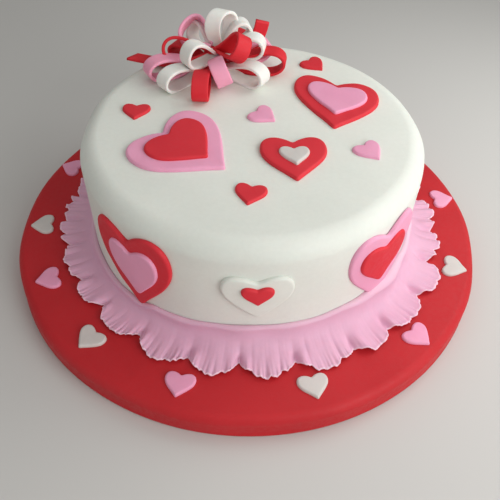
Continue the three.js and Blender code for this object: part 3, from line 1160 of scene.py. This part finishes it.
    def pleats(self, around: Array, outward: Array) -> Array:
        """Height of the radial pleats.

        Each set of grooves is the size of a sine of a whole multiple of the angle whose phase
        wanders, so that grooves are sharp and ridges round. Finer sets start further out.

        Args:
            around: angles in radians.
            outward: 0 where the pleats start, 1 at the edge.

        Returns:
            Height in millimetres.
        """
        sway = 1.6 * waves(around, 51, 3, 12, 6)
        total = np.zeros_like(outward)
        for number, height, start, seed in self.pleat_sets:
            strength = 0.35 + 0.65 * smooth(0.5 + 0.9 * waves(around, seed, 9, 40, 5))
            phase = number * around + sway + 0.9 * waves(around, seed + 9, 15, 45, 5)
            groove = np.abs(np.sin(phase)) ** 0.75 - 0.62
            total = total + height * strength * groove * smooth((outward - start) / (1.0 - start))
        return total

    def lip(self, angle: Array, top: Array) -> tuple[Array, Array, Array]:
        """Rolled lip on the wall.

        Its section is half an ellipse of uneven size, from the wall over the lip to its outer
        foot. Where it rides over a large heart, it is wider and hangs lower.

        Args:
            angle: angles in degrees.
            top: height of the lip's top at each angle.

        Returns:
            Radius, height and paleness of each point, as rows by angles; the paleness is a painted
            highlight on the crest, stronger towards the right.
        """
        turned = (angle - self.ride_angle + 540.0) % 360.0 - 180.0
        bulge = self.ride * hump(turned, self.ride_wide)
        tall = self.lip_size + 0.14 * waves(np.radians(angle), 16, 9, 30, 5)
        turn = np.linspace(math.pi, 0.0, 13)[:, None]
        radius = CAKE_RADIUS - self.tuck + (tall + 0.6 * bulge) * (1.0 + np.cos(turn))
        height = top - tall + tall * np.sin(turn) - 0.35 * bulge * (1.0 + np.cos(turn))
        # Painted highlight: the crest of the lip is paled, more strongly on the right, where the light
        # falls.
        thin_and_highlight = 0.75 * np.sin(turn) ** 2 * (0.35 + 0.65 * smooth((angle + 95.0) / 45.0))
        return radius, height, thin_and_highlight

    def band(
        self, angle: Array, top: Array, foot: tuple[Array, Array]
    ) -> tuple[Array, Array, Array]:
        """Hollow band and pleated edge.

        The section is a cubic curve from the lip's foot, down the wall and out to the edge. Its
        height has the pleats added, a crease at each notch and a fold past it, more of each
        further out. The ridges are paled as a painted highlight, and the paste is thinnest and
        palest along the brim.

        Args:
            angle: angles in degrees.
            top: height of the lip's top at each angle.
            foot: radius and height of the lip's foot.

        Returns:
            Radius, height and paleness of each point, as rows by angles.
        """
        floor = BASE_HEIGHT + self.rest
        reach, lift, away, past = self.edge(angle)
        t = (np.linspace(0.0, 1.0, 40) ** 0.85)[1:, None]
        drop = top - floor
        start, low = foot
        radius = cubic(t, start, start - 1.3, self.band_foot, reach)
        end = floor + self.edge_thick + lift
        height = cubic(t, low, low - 0.5 * drop, floor + 1.9 + 0.06 * drop, end)
        outward = np.clip((radius - self.pleats_from) / (reach - self.pleats_from), 0.0, 1.0)
        pleat = self.pleats(np.radians(angle), outward)
        crease = hump(away, 0.8) - 0.3 * hump(away - 2.6, 1.6) - 0.8 * hump(past - 1.9, 1.3)
        height = height + (1.0 + 0.5 * smooth((outward - 0.6) / 0.4)) * pleat
        height = height - 1.7 * crease * smooth(outward * 1.4)
        height = height + 0.4 * smooth((outward - 0.9) / 0.1)
        # Painted highlight on the pleat ridges in the outer part; the brim, where the paste is
        # thinnest, is paled as well.
        thin_and_highlight = 0.16 * smooth((outward - 0.3) / 0.6) * smooth(1.2 * pleat)
        thin_and_highlight = thin_and_highlight + 0.95 * smooth((outward - 0.93) / 0.05)
        return radius, np.maximum(height, floor + 0.75), np.minimum(thin_and_highlight, 1.0)

    def underside(self, reach: Array, above: Array, back: Array) -> tuple[Array, Array, Array]:
        """Thin outer edge, the underside and the back on the wall.

        Two points round the edge off, five run back over the base, where the edge's lift fades
        out, and three climb the wall.

        Args:
            reach: radius of the outer edge.
            above: height of its upper side.
            back: height where the lip meets the wall.

        Returns:
            Radius, height and thinness of each point, as rows by angles.
        """
        floor = BASE_HEIGHT + self.rest
        inner = CAKE_RADIUS - self.tuck
        lift = np.maximum(above - self.edge_thick - floor, 0.0)
        middle = above - 0.5 * self.edge_thick
        inwards = np.array([0.0, 0.12, 0.28, 0.5, 1.0])[:, None]
        under_r = reach - 0.1 - (reach - 0.1 - inner - 0.4) * inwards
        under_z = floor - 0.02 + lift * (1.0 - smooth(inwards * 3.2))
        wall_z = floor + (back - floor) * np.array([0.12, 0.4, 0.75])[:, None]
        wall_r = np.full_like(wall_z, inner)
        radius = np.concatenate([np.stack([reach + 0.32, reach + 0.32]), under_r, wall_r])
        height = np.concatenate([np.stack([middle + 0.22, middle - 0.22]), under_z, wall_z])
        thin_and_highlight = np.zeros_like(radius)
        thin_and_highlight[:2] = 1.0
        return radius, height, thin_and_highlight

    def surface(self) -> Surface:
        """Sections of the frill round the cake.

        Each section runs over the lip, down the band and out to the edge, round the edge, and
        back inside under it.

        Returns:
            The frill's closed surface.
        """
        angle = self.shown[0].angle + np.linspace(0.0, 360.0, self.stations, endpoint=False)
        around = np.radians(angle)
        top = self.upper_line(angle) + 0.25 * waves(around, 15, 5, 24, 6)
        lip = self.lip(angle, top)
        band = self.band(angle, top, (lip[0][-1], lip[1][-1]))
        under = self.underside(band[0][-1], band[1][-1], lip[1][0])
        radius, height, thin_and_highlight = (np.concatenate(rows) for rows in zip(lip, band, under))
        x = CAKE_X + radius * np.cos(around)
        y = CAKE_Y + radius * np.sin(around)
        rings = np.stack([x, y, height], axis=-1).transpose(1, 0, 2)
        return Surface(rings, None, thin_and_highlight.T)

    def build(self, kitchen: Kitchen) -> None:
        """Serves the frill."""
        kitchen.serve(self.surface(), "paste_frill", Paste.PINK, "frill")


@dataclass(frozen=True)
class Strip:
    """Strip of rolled paste that the bow is made of.

    Attributes:
        wide: width in millimetres.
        thick: thickness in millimetres.
        corner: radius of the rounded long edges.
    """

    wide: float = 10.5
    thick: float = 2.1
    corner: float = 0.75

    def section(self) -> tuple[Array, Array]:
        """Rounded rectangle: four quarter circles joined by straight sides.

        Each of the two long sides has four points of its own.

        Returns:
            Across, as a share of half the width, and out in millimetres.
        """
        turn = np.linspace(0.0, 0.5 * math.pi, 5)
        half = 0.5 * self.thick - self.corner
        cos, sin = np.cos(turn) * self.corner, np.sin(turn) * self.corner
        side = 0.5 * self.wide - self.corner
        across = np.concatenate([side + cos, -side - sin, -side - cos, side + sin])
        out = np.concatenate([half + sin, half + cos, -half - sin, -half - cos])
        inside = np.array([0.6, 0.2, -0.2, -0.6]) * side
        across = np.concatenate([across[:5], inside, across[5:15], inside[::-1], across[15:]])
        out = np.concatenate([out[:5], np.full(4, 0.5 * self.thick), out[5:15]])
        out = np.concatenate([out, np.full(4, -0.5 * self.thick), -half - cos])
        return across / (0.5 * self.wide), out

    def sweep(self, path: Array, across: Array, out: Array, half_wide: Array) -> Surface:
        """The strip carried along a path.

        Each ring is the section, its first value along the width and its second along the
        thickness at that point of the path.

        Args:
            path: points of its middle line.
            across: direction of its width at each point.
            out: direction of its thickness at each point.
            half_wide: half its width at each point.

        Returns:
            The strip's surface, with both ends closed.
        """
        share, rise = self.section()
        rings = (
            path[:, None]
            + across[:, None] * (share[None, :] * half_wide[:, None])[..., None]
            + out[:, None] * rise[None, :, None]
        )
        return Surface(rings, np.stack([path[0], path[-1]]))


@dataclass(frozen=True)
class Loop:
    """A loop of strip.

    Attributes:
        node: name of its node after the common beginning.
        paste: its colour.
        start: where its axis starts from the bow's middle, the last as a height over the cake.
        heading: heading of the axis in degrees.
        climb: rise of the axis in degrees.
        roll: the strip's roll about the axis in degrees.
        long: length of the loop.
        high: height of the loop.
        shear: how far its upper half leans sideways.
        pinch: width of the strip at the bow's middle, as a share of its full width.
    """

    node: str
    paste: Paste
    start: Place
    heading: float
    climb: float
    roll: float
    long: float
    high: float
    shear: float = 0.0
    pinch: float = 0.55

    def axes(self) -> tuple[Array, Array, Array]:
        """Directions of the loop.

        The axis points by its heading and climb. The level direction across it and the one
        square to both are turned about it by the roll.

        Returns:
            Unit vectors along the axis, across the strip and up.
        """
        heading, climb, roll = (math.radians(v) for v in (self.heading, self.climb, self.roll))
        level = math.cos(climb)
        ahead = [level * math.cos(heading), level * math.sin(heading), math.sin(climb)]
        along = np.array(ahead)
        aside = np.array([-math.sin(heading), math.cos(heading), 0.0])
        across = aside * math.cos(roll) + np.cross(along, aside) * math.sin(roll)
        return along, across, np.cross(along, across)


@dataclass(frozen=True)
class Tail:
    """A loose end of strip.

    Attributes:
        node: name of its node.
        start: where its path starts.
        bend: control point that bends the path.
        end: where the path ends.
        facing: direction that its broad side faces.
        wide: its width.
        slant: how far its cut end is out of square.
    """

    node: str
    start: Place
    bend: Place
    end: Place
    facing: Place
    wide: float
    slant: float


@dataclass(frozen=True)
class Bow:
    """Bow of looped strips round a small pad.

    Attributes:
        x: place of its middle.
        y: place of its middle.
        strip: the strip that it is made of.
        pad_radius: radius of the pad.
        pad_height: height of the pad.
        pad_sunk: how far the pad sinks into the top.
        loop_sunk: how far the lowest loops may sink into it.
        loops: its loops.
        tails: its loose ends.
    """

    x: float = -26.0
    y: float = 62.0
    strip: Strip = Strip()
    pad_radius: float = 9.5
    pad_height: float = 17.0
    pad_sunk: float = 0.2
    loop_sunk: float = 0.1
    loops: tuple[Loop, ...] = (
        Loop("lower_left", Paste.WHITE, (-3.5, -3.6, 3.2), 226, 6, 0, 40, 15.5),
        Loop("lower_front", Paste.RED, (-5.5, -4, 3.3), 269, 7, 0, 42, 16),
        Loop("lower_right", Paste.WHITE, (4, -2.9, 3.5), 325, 8, 0, 38, 15.5),
        Loop("far_left", Paste.PINK, (-6.5, 3.5, 3.5), 213, 7, 0, 43, 15.5),
        Loop("far_right", Paste.RED, (5, 0, 3.5), 355, 9, 0, 44, 17.5),
        Loop("back_right", Paste.PINK, (4.7, 1.7, 4), 20, 12, 0, 36, 15),
        Loop("back", Paste.RED, (3, 4, 4), 55, 10, 0, 33, 16),
        Loop("back_middle", Paste.WHITE, (-0.5, 5, 4), 95, 10, 0, 32, 16),
        Loop("back_left", Paste.RED, (-4, 3, 4), 152, 3, 0, 30, 12.5),
        Loop("front", Paste.PINK, (1, -3, 10.5), 284, -1, 20, 28, 17.5),
        Loop("mid_left", Paste.RED, (0, 0, 12), 185, 6, 30, 34, 17),
        Loop("mid_front_left", Paste.WHITE, (3, -3, 13), 222, 17, 0, 28, 17),
        Loop("mid_front_right", Paste.RED, (5.8, -3, 13), 309, 35, -37, 29.5, 17, 0, 1.5),
        Loop("mid_right", Paste.WHITE, (3, 0, 14), 353, 12, 0, 32, 16),
        Loop("high_right", Paste.WHITE, (4, 2, 16), 14, 33, 0, 24, 14.5),
        Loop("high_back", Paste.WHITE, (0, 2, 14), 130, 15, 20, 24, 15.5),
        Loop("high_left", Paste.PINK, (0, 0, 16), 150, 22, 55, 25, 21),
        Loop("top", Paste.WHITE, (4.6, 0, 15), 252, 101, 0, 25, 14.5, 4.2, 0.8),
    )
    tails: tuple[Tail, ...] = (
        Tail("bow_tail_left", (-36, 62, 98), (-58, 64, 97.5), (-81, 66, 101), (0, 0, 1), 9.0, 3.0),
        Tail("bow_tail_right", (-14, 73, 101), (3, 78, 102), (6, 78, 123), (0.2, -1, 0.1), 9.4, 0.6),
    )

    def loop_surface(self, loop: Loop, seed: int) -> Surface:
        """A strip bent into a teardrop.

        Along the axis the path goes out and back as one minus the cosine of its parameter, and
        across it as the sine times a power of the sine of half the parameter. At the start its two
        ends lie side by side. The strip has another width there, and twists a little.

        Args:
            loop: the loop.
            seed: seed of its small unevenness.

        Returns:
            The loop's surface.
        """
        along, across, up = loop.axes()
        start = np.array([self.x + loop.start[0], self.y + loop.start[1], CAKE_TOP + loop.start[2]])
        thick = self.strip.thick
        u = np.linspace(0.0, 2.0 * math.pi, 90)
        x = 0.5 * thick + (loop.long - thick) * 0.5 * (1.0 - np.cos(u))
        swell = np.sin(u) * np.sin(0.5 * u) ** 1.6 / 0.69
        side = np.where(u < math.pi, 1.0, -1.0)
        y = 0.5 * (loop.high - thick) * swell + 0.5 * thick * side * (1.0 - smooth(x / 7.0))
        step = np.stack([np.gradient(x), np.gradient(y)])
        step = step / np.hypot(*step)
        path = start + x[:, None] * along + y[:, None] * up
        out = -step[1][:, None] * along + step[0][:, None] * up
        draw = np.random.default_rng(seed)
        twist = math.radians(draw.uniform(-3.0, 3.0)) * np.sin(u + draw.uniform(0.0, 6.0))
        lean = draw.uniform(-0.5, 0.5) * smooth(x / loop.long)
        path = path + (lean + loop.shear * np.sin(u))[:, None] * across
        width = across * np.cos(twist)[:, None] + out * np.sin(twist)[:, None]
        face = out * np.cos(twist)[:, None] - across * np.sin(twist)[:, None]
        narrow = loop.pinch + (1.0 - loop.pinch) * smooth((x + 2.0) / 16.0)
        half = 0.5 * self.strip.wide * narrow
        surface = self.strip.sweep(path, width, face, half)
        rings = surface.rings.copy()
        rings[..., 2] = np.maximum(rings[..., 2], CAKE_TOP - self.loop_sunk)
        return Surface(rings, surface.ends)

    def tail_surface(self, tail: Tail) -> Surface:
        """A loose end of strip, cut at a slant.

        The path is a smooth curve through three points, weighted by the squares of the
        parameter and its rest, and twice their product. Near its end the strip is skewed.

        Args:
            tail: the loose end.

        Returns:
            The tail's surface.
        """
        t = np.linspace(0.0, 1.0, 28)[:, None]
        start, bend, end, facing = np.array([tail.start, tail.bend, tail.end, tail.facing])
        path = (1 - t) ** 2 * start + 2 * t * (1 - t) * bend + t * t * end
        step = np.gradient(path, axis=0)
        step = step / np.linalg.norm(step, axis=1, keepdims=True)
        width = np.cross(facing, step)
        width = width / np.linalg.norm(width, axis=1, keepdims=True)
        face = np.cross(step, width)
        surface = self.strip.sweep(path, width, face, np.full(len(t), 0.5 * tail.wide))
        skew = smooth((t - 0.8) / 0.2) * tail.slant * self.strip.section()[0][None, :]
        return Surface(surface.rings + skew[..., None] * step[:, None], surface.ends)

    def pad_surface(self) -> Surface:
        """A small dome with an uneven skin: ellipses that shrink with height, and seeded waves.

        Returns:
            The pad's surface.
        """
        angle = circle(64)
        climb = np.linspace(0.0, 0.5 * math.pi, 14, endpoint=False)[:, None]
        foot = CAKE_TOP - self.pad_sunk
        r = self.pad_radius * np.cos(climb) * (1.0 + 0.06 * waves(angle, 6, 2, 9, 4))
        z = foot + self.pad_height * np.sin(climb) + 0.0 * angle
        rings = np.stack([self.x + r * np.cos(angle), self.y + r * np.sin(angle), z], axis=-1)
        ends = np.array([[self.x, self.y, foot], [self.x, self.y, CAKE_TOP + self.pad_height]])
        return Surface(rings, ends)

    def build(self, kitchen: Kitchen) -> None:
        """Serves the pad, the loops and the two loose ends.

        Args:
            kitchen: what dresses the bow.
        """
        kitchen.serve(self.pad_surface(), "bow_core", Paste.RED, "bow_pad")
        for number, loop in enumerate(self.loops):
            node = f"bow_loop_{loop.node}"
            kitchen.serve(self.loop_surface(loop, 100 + number), f"paste_{node}", loop.paste, node)
        for tail in self.tails:
            kitchen.serve(self.tail_surface(tail), f"paste_{tail.node}", Paste.RED, tail.node)


@dataclass(frozen=True)
class SoftLight:
    """A square soft light.

    Attributes:
        name: its name.
        place: its place in metres.
        side: its side in metres.
        watts: its power.
        tint: its colour.
    """

    name: str
    place: Place
    side: float
    watts: float
    tint: Colour

    def hang(self, target: Place) -> None:
        """Adds the light to the scene, facing the target.

        Args:
            target: the place that it faces, in metres.
        """
        data = bpy.data.lights.new(self.name, "AREA")
        data.shape = "SQUARE"
        data.size = self.side
        data.energy = self.watts
        data.color = self.tint
        lamp = bpy.data.objects.new(self.name, data)
        bpy.context.scene.collection.objects.link(lamp)
        lamp.location = self.place
        aim = Vector(target) - Vector(self.place)
        lamp.rotation_euler = aim.to_track_quat("-Z", "Y").to_euler()


@dataclass(frozen=True)
class Studio:
    """Pale floor, soft lights and the camera.

    Attributes:
        picture: width of the picture in pixels.
        focal_pixels: focal length in pixels.
        pitch: how far the camera looks down, in degrees.
        distance: distance to the point that it looks at.
        pan: that point's distance to the right of the axis.
        lift: that point's height.
        roll: the camera's roll in degrees.
        floor_half: half the side of the floor in metres.
        floor_gap: how far the floor lies under the base, in metres.
        floor_colour: colour of the floor, linear.
        room_colour: colour of the light from all around, linear.
        room_strength: strength of that light.
        lit_place: the place that the lights face, in metres.
        lights: the soft lights.
    """

    picture: float = 500.0
    focal_pixels: float = 615.0
    pitch: float = 46.9
    distance: float = 456.0
    pan: float = 2.17
    lift: float = -16.15
    roll: float = 1.72
    floor_half: float = 3.0
    floor_gap: float = 0.0002
    floor_colour: Colour = (0.62, 0.61, 0.59)
    room_colour: Colour = (1.0, 0.99, 0.97)
    room_strength: float = 0.22
    lit_place: Place = (0.0, 0.0, 0.05)
    lights: tuple[SoftLight, ...] = (
        SoftLight("window", (0.52, -0.50, 0.38), 0.5, 3.6, (1.0, 1.0, 0.99)),
        SoftLight("sill", (0.34, 0.10, 0.34), 0.3, 0.85, (1.0, 1.0, 0.98)),
        SoftLight("ceiling", (0.05, 0.15, 1.15), 1.2, 2.3, (0.98, 1.0, 0.97)),
        SoftLight("room", (-0.72, -0.68, 0.42), 0.9, 1.5, (1.0, 0.98, 0.96)),
    )

    def camera(self) -> None:
        """Places the camera: back from its target along its view, then rolled about that view."""
        pitch, roll = math.radians(self.pitch), math.radians(self.roll)
        forward = Vector((0.0, math.cos(pitch), -math.sin(pitch)))
        side = Vector((1.0, 0.0, 0.0))
        level_up = side.cross(forward)
        right = side * math.cos(roll) + level_up * math.sin(roll)
        up = level_up * math.cos(roll) - side * math.sin(roll)
        place = (Vector((self.pan, 0.0, self.lift)) - forward * self.distance) * METRES
        data = bpy.data.cameras.new("camera")
        data.sensor_width = 36.0
        data.lens = data.sensor_width * self.focal_pixels / self.picture
        data.clip_start = 0.01
        camera = bpy.data.objects.new("camera", data)
        bpy.context.scene.collection.objects.link(camera)
        axes = Matrix((right, up, -forward)).transposed().to_4x4()
        camera.matrix_world = Matrix.Translation(place) @ axes
        bpy.context.scene.camera = camera

    def floor(self) -> None:
        """Lays a wide pale floor just under the base."""
        half, low = self.floor_half, -self.floor_gap
        corners = [(-half, -half, low), (half, -half, low), (half, half, low), (-half, half, low)]
        mesh = bpy.data.meshes.new("floor")
        mesh.from_pydata(corners, [], [(0, 1, 2, 3)])
        material = bpy.data.materials.new("pale_floor")
        material.use_nodes = True
        shader = material.node_tree.nodes["Principled BSDF"]
        shader.inputs["Base Color"].default_value = (*self.floor_colour, 1.0)
        shader.inputs["Roughness"].default_value = 0.8
        mesh.materials.append(material)
        floor = bpy.data.objects.new("floor", mesh)
        bpy.context.scene.collection.objects.link(floor)

    def build(self) -> None:
        """Sets up the floor, the lights, the light from all around and the camera."""
        self.floor()
        for light in self.lights:
            light.hang(self.lit_place)
        world = bpy.data.worlds.new("soft_room")
        world.use_nodes = True
        sky = world.node_tree.nodes["Background"]
        sky.inputs["Color"].default_value = (*self.room_colour, 1.0)
        sky.inputs["Strength"].default_value = self.room_strength
        bpy.context.scene.world = world
        bpy.context.scene.view_settings.view_transform = "Standard"
        self.camera()


def kitchens() -> tuple[Kitchen, Kitchen, Kitchen, Kitchen]:
    """Kitchens for the coats and frill, the flat hearts, the wall's hearts and the bow.

    Returns:
        The four kitchens, which share one set of materials.
    """
    coat = PasteFinish("white_fondant", (0.81, 0.83, 0.77), (0.78, 0.80, 0.74))
    pink = PasteFinish("pink_paste", (0.89, 0.40, 0.58), (0.83, 0.35, 0.52))
    red = PasteFinish("red_paste", (0.73, 0.034, 0.05), (0.66, 0.026, 0.041))
    icing = PasteFinish("red_icing", (0.56, 0.019, 0.026), (0.51, 0.016, 0.022), grain=0.0002)
    # The frill's pale colour serves its thin brim and the painted highlights on its lip and ridges.
    frill = PasteFinish(
        "frill_paste", (0.80, 0.47, 0.62), (0.75, 0.42, 0.57), glow=0.2, pale=(0.90, 0.62, 0.74)
    )
    dull = PasteFinish("white_heart_paste", (0.68, 0.64, 0.61), (0.64, 0.60, 0.57))
    white = PasteFinish("white_strip", (0.88, 0.88, 0.84), (0.85, 0.85, 0.81), glow=0.25)
    rose = PasteFinish("pink_strip", (0.95, 0.42, 0.58), (0.91, 0.38, 0.53), glow=0.25)
    scarlet = PasteFinish("red_strip", (0.74, 0.026, 0.04), (0.66, 0.02, 0.032))
    shelf: dict[str, bpy.types.Material] = {}
    return (
        Kitchen({Paste.WHITE: coat, Paste.PINK: frill, Paste.RED: icing}, shelf),
        Kitchen({Paste.WHITE: dull, Paste.PINK: pink, Paste.RED: red}, shelf),
        Kitchen({Paste.WHITE: coat, Paste.PINK: pink, Paste.RED: red}, shelf),
        Kitchen({Paste.WHITE: white, Paste.PINK: rose, Paste.RED: scarlet}, shelf),
    )


def main() -> None:
    """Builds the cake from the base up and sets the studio."""
    logging.basicConfig(level=logging.INFO, format="%(message)s")
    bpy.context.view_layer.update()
    coats, flat, wall, looped = kitchens()
    IcedBase().build(coats)
    FondantCoat().build(coats)
    Frill().build(coats)
    TopHearts().build(flat)
    WallHearts().build(wall)
    BaseHearts().build(flat)
    Bow().build(looped)
    Studio().build()


if __name__ == "__main__":
    main()
